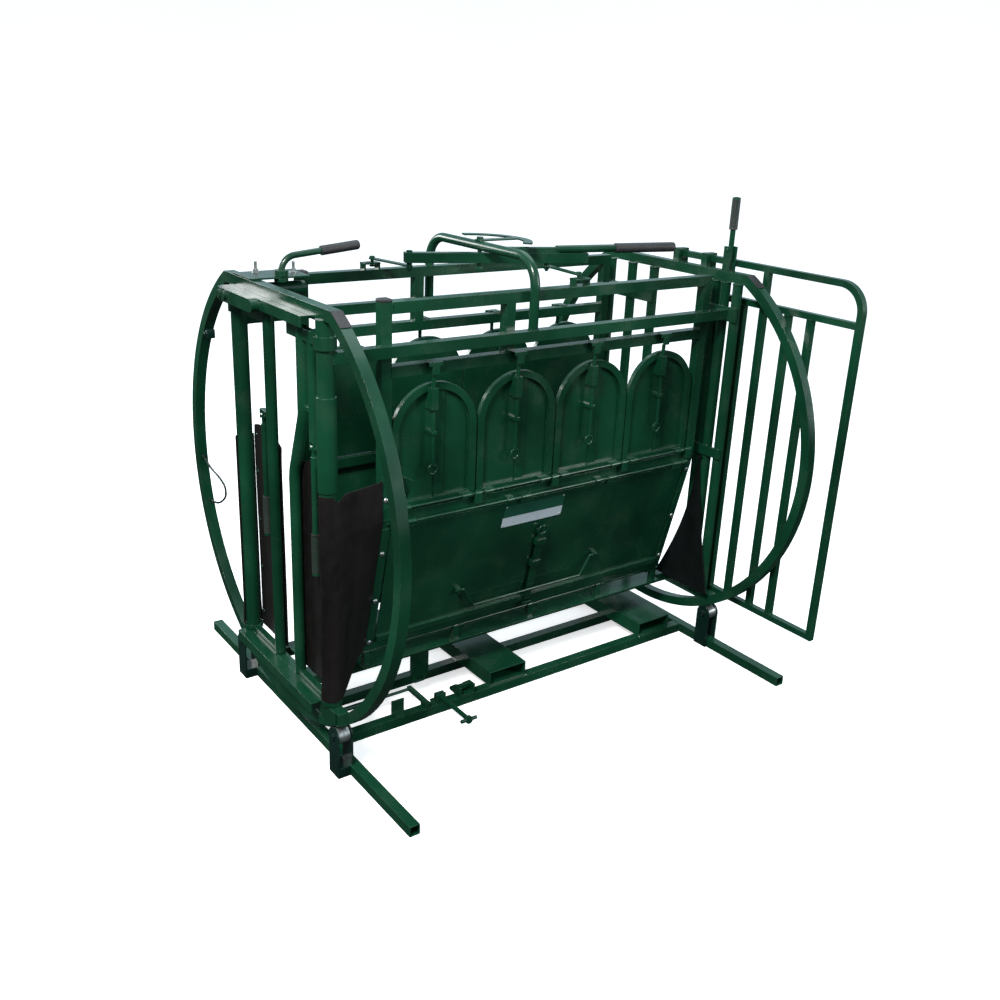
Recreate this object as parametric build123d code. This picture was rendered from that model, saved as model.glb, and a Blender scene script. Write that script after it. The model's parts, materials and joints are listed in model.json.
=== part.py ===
"""Roll-over squeeze crate: a calf-sized squeeze chute hung in two D-shaped hoops.

Units are millimetres.  X runs along the crate from the head gate (-X) to the tail gate (+X), Y runs
across it (the operator's side is -Y) and Z is up.  The origin is on the floor, midway between the two
cross tubes of the base and on the centre line of the hoops.
"""
import os
from math import atan2, cos, degrees, hypot, radians, sin, sqrt

from build123d import *

# ---- driving dimensions ---------------------------------------------------------------------------
TUBE = 38.0              # outside of the square tube used for the base, hoops and rails
WALL = 3.0               # wall of the square tube
BASE_X = 875.0           # cross tubes of the base lie at +/- this
FRONT_X = -912.0         # plane of the front hoop and the head gate
REAR_X = 875.0           # plane of the rear hoop
FOOT_Y = 823.0           # half length of a cross tube
RAIL_Y = 241.0           # outer base rails lie at +/- this, a third one on the centre line
POCKET_X = (-95.0, 700.0)
POCKET_W = 176.0
HOOP_R = 815.0           # outside radius of the round part of a hoop
ROLL_Z = 900.0           # height of the roll axis
CHORD_TOP = 1609.0       # top of the flat chord of a hoop
ROLLER_R = 29.95         # roller radius, a hair under a true touch on the hoop
ROLLER_Y = 395.0         # rollers stand at +/- this
PIN_FIT = 0.05           # radial running clearance of every pin
SIDE_Y = 296.0           # centre plane of the upright part of a squeeze side
SIDE_X = (-708.0, 760.0)
SIDE_FOOT = (165.0, 300.0)     # hinge line of a squeeze side (Y, Z)
SIDE_KNEE_Z = 870.0      # mid rail, where the side turns inward
PANEL_RAIL_Z = 1376.0    # rail that the drop panels latch to
SIDE_TOP_Z = 1582.0      # top rail of a squeeze side
MID_POST_X = -205.0
FIXED_RAIL_Y = 337.0     # fixed rails outside the squeeze sides
FIXED_RAIL_Z = 1452.0
DROP_COUNT = 4           # drop panels in each side
DROP_X0 = -668.0
DROP_PITCH = 346.0
DROP_W = 338.0
DROP_HINGE = (326.0, 905.0)    # hinge line of the drop panels (Y, Z)
DROP_TOP_Z = 1325.0      # crown of a drop panel
LATCH_R = 7.0            # bolt of a drop panel's latch
LOWER_HINGE = (325.0, 852.0)   # hinge line of the lower panel (Y, Z)
POST_Y = 330.0           # head gate posts
POST_R = 28.5
DOOR_R = 20.0
SILL_Z = 225.0           # sills and floor rails
BOW_X = -125.0           # overhead bow and the pivot of the squeeze rocker
BOW_Z = 1712.0
BOW_R = 17.0
ROCKER_TUBE = 36.0
ROCKER_Z = 1670.0
ROCKER_ANGLE = -20.0     # rocker's direction from +X, seen from above
ROCKER_ARM = 257.0       # pivot to link pin, both ways
LINK_Z = 1637.0          # underside of the link bars
LINK_REACH = {"near": (-16.0, -205.0), "far": (-36.0, 205.0)}
TAIL_X = 850.0           # tail posts
TAIL_POSTS = (-370.0, -305.0, -255.0, 100.0, 235.0, 370.0)
GATE_X = 930.0           # plane of the sliding tail gate
GATE_TUBE = 25.0
GATE_TOP_Z = 1636.0
GATE_RAIL_Z = 1494.0
GATE_FOOT_Z = 240.0
GATE_OUTER_Y = -890.0
GATE_BARS = (-239.0, -341.0, -444.0, -568.0, -675.0)

os.makedirs("parts", exist_ok=True)


# ---- small helpers --------------------------------------------------------------------------------
def block(x0, x1, y0, y1, z0, z1):
    """Box between two corners."""
    return Pos((x0 + x1) / 2, (y0 + y1) / 2, (z0 + z1) / 2) * Box(abs(x1 - x0), abs(y1 - y0), abs(z1 - z0))


def rod(start, end, radius):
    """Solid round bar between two points."""
    a, b = Vector(*start), Vector(*end)
    plane = Plane(origin=a, z_dir=(b - a).normalized())
    return extrude(plane * Circle(radius), amount=(b - a).length)


def pipe(start, end, radius, wall=WALL):
    """Round pipe closed one wall short of each end."""
    a, b = Vector(*start), Vector(*end)
    run = (b - a).normalized()
    inner = rod(tuple(a + run * wall), tuple(b - run * wall), radius - wall)
    return rod(start, end, radius) - inner


def square_tube(axis, lo, hi, u, v, size=TUBE, wall=WALL, open_ends=False):
    """Square tube along an axis from lo to hi; u and v centre it on the other two axes, in order."""
    end = -1.0 if open_ends else wall

    def bar(a, b, s):
        spans = {"x": (a, b, u - s, u + s, v - s, v + s),
                 "y": (u - s, u + s, a, b, v - s, v + s),
                 "z": (u - s, u + s, v - s, v + s, a, b)}
        return block(*spans[axis])

    return bar(lo, hi, size / 2) - bar(lo + end, hi - end, size / 2 - wall)


def profile_x(points, x0, x1):
    """Closed outline of (Y, Z) points pulled from x0 to x1."""
    face = make_face(Polyline(*[(x0, y, z) for y, z in points], close=True))
    return extrude(face, amount=x1 - x0, dir=(1, 0, 0))


def profile_z(points, z0, z1):
    """Closed outline of (X, Y) points pulled from z0 to z1."""
    face = make_face(Polyline(*[(x, y, z0) for x, y in points], close=True))
    return extrude(face, amount=z1 - z0, dir=(0, 0, 1))


def hex_head(centre, direction, across=17.0, height=8.0):
    """Hexagon bolt head or nut standing on centre, along direction."""
    plane = Plane(origin=Vector(*centre), z_dir=Vector(*direction))
    return extrude(plane * RegularPolygon(across / sqrt(3), 6), amount=height)


def swept(points, radii, radius, wall=0.0):
    """Round bar or pipe along straight runs joined by arcs."""
    path = FilletPolyline(*points, radius=radii)
    first, second = Vector(*points[0]), Vector(*points[1])
    plane = Plane(origin=first, z_dir=(second - first).normalized())
    section = plane * Circle(radius)
    if wall:
        section = section - plane * Circle(radius - wall)
    return sweep(section, path=path)


def other_side(shape):
    return mirror(shape, about=Plane.XZ)


def save(name, *shapes):
    solids = []
    for shape in shapes:
        items = shape if isinstance(shape, (list, tuple)) else [shape]
        for item in items:
            solids.extend(item.solids())
    for index, solid in enumerate(solids):
        solid.label = name if len(solids) == 1 else f"{name}_{index + 1}"
    body = solids[0] if len(solids) == 1 else Compound(children=solids, label=name)
    export_step(body, f"parts/{name}.step")


# ---- base: cross tubes, rails, fork pockets -------------------------------------------------------
HALF = TUBE / 2
save("cross_tubes", *[square_tube("y", -FOOT_Y, FOOT_Y, x, HALF, open_ends=True)
                      for x in (-BASE_X, BASE_X)])
rail_end = BASE_X - HALF
save("base_rails", *[square_tube("x", -rail_end, rail_end, y, HALF) for y in (-RAIL_Y, 0.0, RAIL_Y)])


def fork_pocket(x):
    """Rectangular hollow lying across the rails, open at both ends."""
    half = POCKET_W / 2
    shell = block(x - half, x + half, -250, 250, TUBE, 98)
    return shell - block(x - half + 5, x + half - 5, -251, 251, TUBE + 5, 93)


save("fork_pockets", *[fork_pocket(x) for x in POCKET_X])

# ---- roller brackets and rollers ------------------------------------------------------------------
roller_z = ROLL_Z - sqrt((HOOP_R + 30.0) ** 2 - ROLLER_Y ** 2)
FORK_GAP = 23.0          # half the gap between the two plates of a roller bracket
PLATE = 6.0
ROLLER_PIN_R = 8.0


def bracket_plate(x, z0):
    """Upright plate with a rounded head around the roller pin."""
    plate = block(x, x + PLATE, -ROLLER_Y - 34, -ROLLER_Y + 34, z0, roller_z)
    head = rod((x, -ROLLER_Y, roller_z), (x + PLATE, -ROLLER_Y, roller_z), 34)
    return plate + head


def roller_bracket(hoop_x, outer_foot, inner_foot, filler):
    left, right = hoop_x - FORK_GAP - PLATE, hoop_x + FORK_GAP
    feet = (outer_foot, inner_foot)
    body = bracket_plate(left, feet[0]) + bracket_plate(right, feet[1]) + filler
    pin = rod((left - 5, -ROLLER_Y, roller_z), (right + PLATE + 5, -ROLLER_Y, roller_z), ROLLER_PIN_R)
    heads = hex_head((left, -ROLLER_Y, roller_z), (-1, 0, 0), 22, 7)
    heads += hex_head((right + PLATE, -ROLLER_Y, roller_z), (1, 0, 0), 22, 7)
    return body + pin + heads


front_filler = block(FRONT_X - FORK_GAP, -BASE_X - HALF, -ROLLER_Y - 34, -ROLLER_Y + 34, 0, TUBE)
front_bracket = roller_bracket(FRONT_X, 0.0, TUBE, front_filler)
pads = block(REAR_X - FORK_GAP, REAR_X - HALF, -ROLLER_Y - 30, -ROLLER_Y + 30, 3, 35)
pads += block(REAR_X + HALF, REAR_X + FORK_GAP, -ROLLER_Y - 30, -ROLLER_Y + 30, 3, 35)
rear_bracket = roller_bracket(REAR_X, 0.0, 0.0, pads)
save("roller_brackets", front_bracket, rear_bracket, other_side(front_bracket), other_side(rear_bracket))


def roller(x):
    body = rod((x - 21, -ROLLER_Y, roller_z), (x + 21, -ROLLER_Y, roller_z), ROLLER_R)
    return body - rod((x - 22, -ROLLER_Y, roller_z), (x + 22, -ROLLER_Y, roller_z), ROLLER_PIN_R + PIN_FIT)


near_rollers = [roller(x) for x in (FRONT_X, REAR_X)]
save("rollers_near", *near_rollers)
save("rollers_far", *[other_side(r) for r in near_rollers])

# ---- roll stop, link rod and tilt lock on the base ------------------------------------------------
stop = profile_x([(-260, 38), (-186, 38), (-186, 50), (-222, 78), (-260, 78)], -330, -322)
stop += profile_x([(-260, 38), (-186, 38), (-186, 50), (-222, 78), (-260, 78)], -268, -260)
stop += block(-330, -260, -260, -186, 38, 44)
stop += block(-330, -260, -240, -228, 60, 78)
gusset = block(-612, -560, -225, -219, 38, 92) + block(-612, -560, -260, -219, 38, 44)
link_rod = rod((-853, -130, 58), (-640, -130, 58), 9) + rod((-700, -130, 58), (-470, -130, 58), 6)
link_rod += block(-856, -848, -142, -118, 30, 70)
link_rod += block(-484, -468, -222, -120, 50, 66) + block(-484, -468, -260, -222, 38, 66)
LOCK_X, LOCK_Z, LOCK_R = -415.0, 70.0, 9.0
lock_guides = block(LOCK_X - 24, LOCK_X + 24, -260, -214, 38, 44)
for y in (-260, -246):
    lock_guides += block(LOCK_X - 20, LOCK_X + 20, y, y + 8, 38, 82)
lock_guides -= rod((LOCK_X, -270, LOCK_Z), (LOCK_X, -200, LOCK_Z), LOCK_R + 0.1)
save("roll_stop", stop, gusset, link_rod, lock_guides)
tilt_lock = rod((LOCK_X, -440, LOCK_Z), (LOCK_X, -244, LOCK_Z), LOCK_R)
tilt_lock += rod((LOCK_X, -440, LOCK_Z), (LOCK_X, -452, LOCK_Z), 15)
tilt_lock += rod((LOCK_X - 34, -446, LOCK_Z), (LOCK_X + 34, -446, LOCK_Z), 7)
save("tilt_lock", tilt_lock)

# ---- hoops ----------------------------------------------------------------------------------------
def hoop_section(x0, x1, outer, inner, top, under):
    """Flat D: a ring cut off at top, plus the chord bar between under and top."""
    disc = rod((x0, 0, ROLL_Z), (x1, 0, ROLL_Z), outer)
    below = block(x0 - 1, x1 + 1, -900, 900, 0, top)
    ring = (disc - rod((x0 - 1, 0, ROLL_Z), (x1 + 1, 0, ROLL_Z), inner)) & below
    bar = disc & block(x0 - 1, x1 + 1, -900, 900, under, top)
    return ring + bar


def hoop(x):
    shell = hoop_section(x - HALF, x + HALF, HOOP_R, HOOP_R - TUBE, CHORD_TOP, CHORD_TOP - TUBE)
    void = hoop_section(x - HALF + WALL, x + HALF - WALL, HOOP_R - WALL, HOOP_R - TUBE + WALL,
                        CHORD_TOP - WALL, CHORD_TOP - TUBE + WALL)
    return shell - void


def hoop_cap(x):
    """Plug over the cut corner of the hoop on the operator's side."""
    ring = rod((x - HALF, 0, ROLL_Z), (x + HALF, 0, ROLL_Z), HOOP_R + 3)
    ring -= rod((x - 40, 0, ROLL_Z), (x + 40, 0, ROLL_Z), HOOP_R)
    return ring & block(x - 40, x + 40, -600, 0, CHORD_TOP - TUBE, CHORD_TOP)


front_hoop = hoop(FRONT_X)
rear_face = FRONT_X + HALF
gusset_face = make_face(Polyline((rear_face, -748, 1200), (rear_face + 48, -748, 1176),
                                 (rear_face, -748, 1090), close=True))
front_hoop += extrude(gusset_face, amount=6, dir=(0, 1, 0))
save("hoop_front", front_hoop)
save("hoop_rear", hoop(REAR_X))
save("hoop_caps", hoop_cap(FRONT_X), hoop_cap(REAR_X))

# ---- floor ----------------------------------------------------------------------------------------
SILL_TOP = SILL_Z + HALF


def sill(x):
    bar = square_tube("y", -440, 440, x, SILL_Z)
    return bar & rod((x - 60, 0, ROLL_Z), (x + 60, 0, ROLL_Z), HOOP_R - TUBE)


floor_frame = [sill(FRONT_X), sill(REAR_X)]
for y in (-120, 120):
    floor_frame.append(square_tube("x", FRONT_X + HALF, REAR_X - HALF, y, SILL_Z))
plate_outline = [(LOCK_X - 40, 90), (LOCK_X - 22, 55), (LOCK_X + 22, 55), (LOCK_X + 40, 90),
                 (LOCK_X + 40, SILL_TOP), (LOCK_X - 40, SILL_TOP)]
plate_face = make_face(Polyline(*[(x, -101, z) for x, z in plate_outline], close=True))
lock_plate = extrude(plate_face, amount=8, dir=(0, 1, 0))
save("lock_plate", lock_plate - block(LOCK_X - 11, LOCK_X + 11, -120, -80, LOCK_Z - 11, LOCK_Z + 11))

HINGE_PIN_R = 6.0
KNUCKLE_R = 12.0
LUG = 24.0
FIXED_LUGS = (-690.0, -300.0, 60.0, 420.0, 742.0)
hinge_y, hinge_z = SIDE_FOOT
hinge_strip = block(-715, 770, -190, -101, SILL_TOP, SILL_TOP + 6)
for x in FIXED_LUGS:
    hinge_strip += block(x - LUG / 2, x + LUG / 2, -hinge_y - 12, -hinge_y + 12, SILL_TOP + 6, hinge_z)
    hinge_strip += rod((x - LUG / 2, -hinge_y, hinge_z), (x + LUG / 2, -hinge_y, hinge_z), KNUCKLE_R)
hinge_strip += rod((-702, -hinge_y, hinge_z), (754, -hinge_y, hinge_z), HINGE_PIN_R)
save("floor_frame", *floor_frame, hinge_strip, other_side(hinge_strip))
save("floor_plate", block(FRONT_X + 40, TAIL_X - 24, -100.5, 100.5, SILL_TOP, SILL_TOP + 6))

# ---- front plate under the head gate --------------------------------------------------------------
plate_x = FRONT_X - HALF
low_disc = rod((plate_x - 5, 0, ROLL_Z), (plate_x, 0, ROLL_Z), HOOP_R - 6)
front_plate = low_disc & block(plate_x - 6, plate_x + 1, -400, 400, 80, SILL_TOP)
for y in range(-280, 281, 112):
    front_plate -= block(plate_x - 7, plate_x + 1, y - 36, y + 36, 176, 190)
sill_angle = block(plate_x - 45, plate_x - 5, -300, 330, SILL_TOP - 6, SILL_TOP)
sill_angle += block(plate_x - 45, plate_x - 39, -300, 330, SILL_TOP - 40, SILL_TOP - 6)
save("front_plate", front_plate + sill_angle)

# ---- fixed rails and overhead bow -----------------------------------------------------------------
post_cylinders = [rod((FRONT_X, s * POST_Y, 300), (FRONT_X, s * POST_Y, 1600), POST_R) for s in (-1, 1)]
fixed_rails = []
for sign, cylinder in zip((-1, 1), post_cylinders):
    rail = square_tube("x", FRONT_X, TAIL_X - 26, sign * FIXED_RAIL_Y, FIXED_RAIL_Z)
    fixed_rails.append(rail - cylinder)
save("fixed_rails", *fixed_rails)

rail_top = FIXED_RAIL_Z + HALF
bow = swept([(BOW_X, -FIXED_RAIL_Y, rail_top), (BOW_X, -FIXED_RAIL_Y, BOW_Z),
             (BOW_X, FIXED_RAIL_Y, BOW_Z), (BOW_X, FIXED_RAIL_Y, rail_top)], 100, BOW_R, WALL)
pivot_top = BOW_Z + BOW_R + 5
PIVOT_R = 8.0
bow -= rod((BOW_X, 0, BOW_Z - 40), (BOW_X, 0, BOW_Z + 40), PIVOT_R - 1)
bow += rod((BOW_X, 0, 1628), (BOW_X, 0, pivot_top + 4), PIVOT_R)
bow += hex_head((BOW_X, 0, 1634), (0, 0, -1), 24, 11)
bow += hex_head((BOW_X, 0, pivot_top), (0, 0, 1), 24, 9)
sector = rod((BOW_X, 0, pivot_top - 6), (BOW_X, 0, pivot_top), 190)
sector -= rod((BOW_X, 0, pivot_top - 7), (BOW_X, 0, pivot_top + 1), 158)
wedge = profile_z([(BOW_X, 0), (BOW_X + 230, -270), (BOW_X + 330, 0), (BOW_X + 60, 250)],
                  pivot_top - 6, pivot_top)
sector = (sector & wedge) + block(BOW_X - 12, BOW_X + 165, -16, 16, pivot_top - 6, pivot_top)
save("overhead_bow", bow + sector)

# ---- squeeze rocker, its lever and the two link bars ----------------------------------------------
turn = Pos(BOW_X, 0, 0) * Rot(0, 0, ROCKER_ANGLE)
beam = square_tube("x", -ROCKER_ARM - 18, ROCKER_ARM + 155, 0, ROCKER_Z, ROCKER_TUBE)
beam_top, beam_under = ROCKER_Z + ROCKER_TUBE / 2, ROCKER_Z - ROCKER_TUBE / 2
beam += rod((0, 0, beam_under), (0, 0, beam_top), 16)
beam -= rod((0, 0, 1600), (0, 0, 1750), PIVOT_R + PIN_FIT)
LINK_PIN_R = 6.0
for x in (-ROCKER_ARM, ROCKER_ARM):
    beam += rod((x, 0, LINK_Z - 16), (x, 0, beam_top + 2), LINK_PIN_R)
    beam += rod((x, 0, LINK_Z + 6.3), (x, 0, beam_under), 10)
    beam += hex_head((x, 0, LINK_Z - 0.3), (0, 0, -1), 19, 9)
    beam += hex_head((x, 0, beam_top), (0, 0, 1), 19, 7)
lever = block(52, 300, -12, 12, beam_top, beam_top + 8)
lever_rod = rod((60, 0, beam_top + 12), (300, 0, beam_top + 12), 9) + block(52, 70, -12, 12, beam_top, beam_top + 21)
handle = rod((290, 0, beam_top + 12), (640, 0, beam_top + 20), 14)
rocker = beam + lever + lever_rod + handle
save("squeeze_rocker", turn * rocker)
grip = rod((520, 0, beam_top + 17.3), (765, 0, beam_top + 22.9), 18.5)
save("squeeze_grip", turn * (grip - handle))

LINK_BOLT_R = 6.0


def link_pivot(side):
    angle = radians(ROCKER_ANGLE)
    arm = ROCKER_ARM if side == "near" else -ROCKER_ARM
    return BOW_X + arm * cos(angle), arm * sin(angle)


def link_bar(side):
    """Flat bar from the rocker pin to the bolt that drops through the slot of the side's bracket."""
    px, py = link_pivot(side)
    dx, dy = LINK_REACH[side]
    length, angle = hypot(dx, dy), degrees(atan2(dy, dx))
    bar = block(0, length, -12, 12, 0, 6) + rod((0, 0, 0), (0, 0, 6), 12) + rod((length, 0, 0), (length, 0, 6), 12)
    bar -= rod((0, 0, -1), (0, 0, 7), LINK_PIN_R + PIN_FIT)
    bar += rod((length, 0, -26), (length, 0, 8), LINK_BOLT_R)
    bar += hex_head((length, 0, 6), (0, 0, 1), 17, 6)
    bar += hex_head((length, 0, -26), (0, 0, 1), 17, 6)
    return Pos(px, py, LINK_Z) * Rot(0, 0, angle) * bar


save("link_near", link_bar("near"))
save("link_far", link_bar("far"))

# ---- squeeze sides --------------------------------------------------------------------------------
LEAN = atan2(SIDE_Y - hinge_y, SIDE_KNEE_Z - (hinge_z + 34))
OUT = (-cos(LEAN), -sin(LEAN))      # outward normal of the leaning part, near side (Y, Z)
KNEE = (-SIDE_Y, SIDE_KNEE_Z)
FOOT = (-hinge_y, hinge_z + 34)


def lean_strip(inner, outer, from_foot, to_foot):
    """YZ outline that follows the lean between two offsets and two distances down from the knee."""
    down = (FOOT[0] - KNEE[0], FOOT[1] - KNEE[1])
    length = hypot(*down)
    run = (down[0] / length, down[1] / length)
    corners = []
    for distance, offset in ((from_foot, inner), (from_foot, outer), (to_foot, outer), (to_foot, inner)):
        corners.append((KNEE[0] + run[0] * distance + OUT[0] * offset,
                        KNEE[1] + run[1] * distance + OUT[1] * offset))
    return corners


LEAN_LEN = hypot(FOOT[0] - KNEE[0], FOOT[1] - KNEE[1])


def side_bracket(side):
    """Raised bracket on the top rail with the slot for the link bolt."""
    px, py = link_pivot(side)
    bx, by = px + LINK_REACH[side][0], py + LINK_REACH[side][1]
    lead = 1 if side == "near" else -1
    top, under = 1627.0, 1621.0
    cx = bx + lead * 8
    body = block(cx - 33, cx + 33, by - 19, by + 19, under, top)
    for x in (cx - 33, cx + 27):
        body += block(x, x + 6, by - 17, by + 17, SIDE_TOP_Z + HALF, under)
    return body - block(cx - 18, cx + 18, by - 10, by + 10, under - 1, top + 1)


def side_frame(side):
    """Squeeze side drawn on the near side, without its link bracket."""
    x0, x1 = SIDE_X
    frame = square_tube("x", x0, x1, -SIDE_Y, SIDE_TOP_Z)
    top = SIDE_TOP_Z + 26
    frame += square_tube("z", SIDE_KNEE_Z, top, x0 + HALF, -SIDE_Y)
    frame += square_tube("z", SIDE_KNEE_Z, SIDE_TOP_Z, x1 - HALF, -SIDE_Y)
    frame += square_tube("z", PANEL_RAIL_Z, SIDE_TOP_Z, MID_POST_X, -SIDE_Y)
    for z in (PANEL_RAIL_Z, SIDE_KNEE_Z):
        frame += square_tube("x", x0 + HALF, x1 - HALF, -SIDE_Y, z)
    frame += square_tube("x", x0, x1, FOOT[0], FOOT[1])
    for x in (x0, x1 - TUBE):
        frame += profile_x(lean_strip(-HALF, HALF, -6, LEAN_LEN), x, x + TUBE)
        frame += profile_x(lean_strip(HALF, HALF + 4, 30, LEAN_LEN - 10), x + 4, x + TUBE - 4)
    for x in FIXED_LUGS:
        middle = x + LUG + 2 if x < 700 else x - LUG - 2
        lug = rod((middle - 12, -hinge_y, hinge_z), (middle + 12, -hinge_y, hinge_z), KNUCKLE_R)
        lug += block(middle - 12, middle + 12, -hinge_y - 10, -hinge_y + 10, hinge_z, FOOT[1] - 15)
        lug -= rod((middle - 13, -hinge_y, hinge_z), (middle + 13, -hinge_y, hinge_z),
                   HINGE_PIN_R + PIN_FIT)
        frame += lug
    # drop panel hinge lugs and pin
    hy, hz = DROP_HINGE
    frame += rod((DROP_X0 - 2, -hy, hz), (DROP_X0 + DROP_COUNT * DROP_PITCH - 4, -hy, hz), 5)
    for index in range(DROP_COUNT + 1):
        x = DROP_X0 - 4 + index * DROP_PITCH
        half = 14
        frame += rod((x - half, -hy, hz), (x + half, -hy, hz), 10)
        frame += block(x - half, x + half, -hy - 10, -SIDE_Y - HALF, SIDE_KNEE_Z, hz)
    if side == "near":
        ly, lz = LOWER_HINGE
        frame += rod((-660, -ly, lz), (716, -ly, lz), 5)
        for x in (-646, -180, 240, 702):
            frame += rod((x - 14, -ly, lz), (x + 14, -ly, lz), 9)
            frame += block(x - 14, x + 14, -ly, -SIDE_Y - HALF, lz - 1, lz + 12)
        hook = profile_x(lean_strip(HALF - 4, HALF + 26, 538, 546), -8, 32)
        frame += hook + profile_x(lean_strip(HALF + 22, HALF + 26, 530, 546), -8, 32)
    return frame


def keeper(index):
    """Hook over the panel rail: a tab on top and a lip that stands outside the latch bolt."""
    x = DROP_X0 + DROP_W / 2 + index * DROP_PITCH - 18
    rail_top_z = PANEL_RAIL_Z + HALF
    face = -SIDE_Y - HALF
    hook = block(x - 26, x + 26, -340, face, rail_top_z, rail_top_z + 4)
    hook += block(x - 10, x + 26, face, -SIDE_Y, rail_top_z, rail_top_z + 4)
    hook += block(x - 26, x + 26, -340, -335, rail_top_z - 9, rail_top_z)
    return hook + block(x - 14, x + 14, -340, -335, rail_top_z - 38, rail_top_z - 9)


keepers = [keeper(index) for index in range(DROP_COUNT)]
save("panel_keepers_near", *keepers)
save("panel_keepers_far", *[other_side(k) for k in keepers])
near_frame = side_frame("near") + side_bracket("near")
far_frame = other_side(side_frame("far")) + side_bracket("far")
save("near_side_frame", near_frame)
save("far_side_frame", far_frame)

far_sheet = profile_x(lean_strip(HALF - 3, HALF, 24, LEAN_LEN - 22), SIDE_X[0] + TUBE, SIDE_X[1] - TUBE)
save("far_lower_sheet", other_side(far_sheet))


def drop_panel(index):
    """Arched sheet with a raised rim, a stiffener, hinge knuckles and the latch housing."""
    x0 = DROP_X0 + index * DROP_PITCH
    radius = DROP_W / 2
    centre = x0 + radius
    spring = DROP_TOP_Z - radius
    z0 = DROP_HINGE[1] - 12

    def arch(inset, y0, y1):
        r = radius - inset
        body = block(centre - r, centre + r, y0, y1, z0 + inset, spring)
        return body + rod((centre, y0, spring), (centre, y1, spring), r)

    panel = arch(0, -SIDE_Y - 2, -SIDE_Y + 1)
    panel += arch(0, -SIDE_Y - 16, -SIDE_Y - 2) - arch(26, -SIDE_Y - 17, -SIDE_Y - 1)
    panel += block(centre + 4, centre + 40, -SIDE_Y - 8, -SIDE_Y - 2, z0 + 20, DROP_TOP_Z - 14)
    latch_x = centre - 18
    housing = block(latch_x - 13, latch_x + 13, -337, -SIDE_Y - 2, 1236, 1310)
    housing += block(latch_x - 10, latch_x + 10, -336, -SIDE_Y - 2, 1150, 1162)
    housing -= rod((latch_x, -326, 1100), (latch_x, -326, 1340), LATCH_R + 0.1)
    panel += housing
    hy, hz = DROP_HINGE
    for x in (x0 + 44, x0 + DROP_W - 44):
        knuckle = rod((x - 20, -hy, hz), (x + 20, -hy, hz), 10)
        knuckle += block(x - 20, x + 20, -hy, -SIDE_Y - 10, hz - 8, hz + 8)
        panel += knuckle - rod((x - 21, -hy, hz), (x + 21, -hy, hz), 5 + PIN_FIT)
    return panel


def latch_bolt(index):
    """Sliding bolt with a pull ring, drawn clear of its keeper."""
    x = DROP_X0 + DROP_W / 2 + index * DROP_PITCH - 18
    tip = PANEL_RAIL_Z - HALF - 2
    bolt = rod((x, -326, 1040), (x, -326, tip), LATCH_R)
    ring = Pos(x, -326, 1026) * Rot(90, 0, 0) * Torus(17, 3.6)
    return bolt + ring


for index in range(DROP_COUNT):
    panel, bolt = drop_panel(index), latch_bolt(index)
    save(f"drop_panel_near_{index + 1}", panel)
    save(f"drop_panel_far_{index + 1}", other_side(panel))
    save(f"latch_near_{index + 1}", bolt)
    save(f"latch_far_{index + 1}", other_side(bolt))

# ---- lower access panel, its bail handle and its latch bar ----------------------------------------
lower = profile_x(lean_strip(HALF - 1, HALF + 2, 26, LEAN_LEN - 20), -664, 716)
lower += profile_x(lean_strip(HALF + 2, HALF + 12, LEAN_LEN - 46, LEAN_LEN - 20), -664, 716)
lower += profile_x(lean_strip(HALF + 2, HALF + 8, 26, 44), -664, 716)
ly, lz = LOWER_HINGE
for x in (-600, -110, 310, 656):
    knuckle = rod((x - 20, -ly, lz), (x + 20, -ly, lz), 9)
    knuckle += profile_x([(-ly - 6, lz - 4), (-ly + 12.5, lz - 6), (-ly + 12.5, lz - 20), (-ly - 2, lz - 20)],
                         x - 20, x + 20)
    lower += knuckle - rod((x - 21, -ly, lz), (x + 21, -ly, lz), 5 + PIN_FIT)


def on_lean(distance, offset):
    run = ((FOOT[0] - KNEE[0]) / LEAN_LEN, (FOOT[1] - KNEE[1]) / LEAN_LEN)
    return (KNEE[0] + run[0] * distance + OUT[0] * offset, KNEE[1] + run[1] * distance + OUT[1] * offset)


BAR_X = 12.0
bar_off = HALF + 16
guide_x0, guide_x1 = BAR_X - 22, BAR_X + 22
for start in (228, 330):
    guide = profile_x(lean_strip(HALF + 2, bar_off + 8, start, start + 26), guide_x0, guide_x1)
    lower += guide - profile_x(lean_strip(bar_off - 3.1, bar_off + 3.1, start - 1, start + 27),
                               BAR_X - 15.1, BAR_X + 15.1)
lower += profile_x(lean_strip(HALF + 2, HALF + 5, 160, 520), BAR_X - 40, BAR_X - 24)
BAIL_X = (-335.0, 330.0)
bail_y, bail_z = on_lean(385, HALF + 13)
for x in BAIL_X:
    lug = profile_x(lean_strip(HALF + 2, HALF + 22, 375, 395), x - 9, x + 9)
    lower += lug - rod((x - 12, bail_y, bail_z), (x + 12, bail_y, bail_z), 5 + PIN_FIT)
save("near_lower_panel", lower)

low_y, low_z = on_lean(462, HALF + 29)
bail = swept([(BAIL_X[0] - 14, bail_y, bail_z), (BAIL_X[0] + 24, bail_y, bail_z),
              (BAIL_X[0] + 70, low_y, low_z), (BAIL_X[1] - 70, low_y, low_z),
              (BAIL_X[1] - 24, bail_y, bail_z), (BAIL_X[1] + 14, bail_y, bail_z)], 9, 5)
save("near_bail", bail)

latch_bar = profile_x(lean_strip(bar_off - 3, bar_off + 3, 201, 522), BAR_X - 15, BAR_X + 15)
ring_y, ring_z = on_lean(188, bar_off)
ring = Pos(BAR_X, ring_y, ring_z) * Rot(90 + degrees(LEAN), 0, 0) * Torus(20, 4)
save("near_latch_bar", latch_bar + ring)

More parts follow.
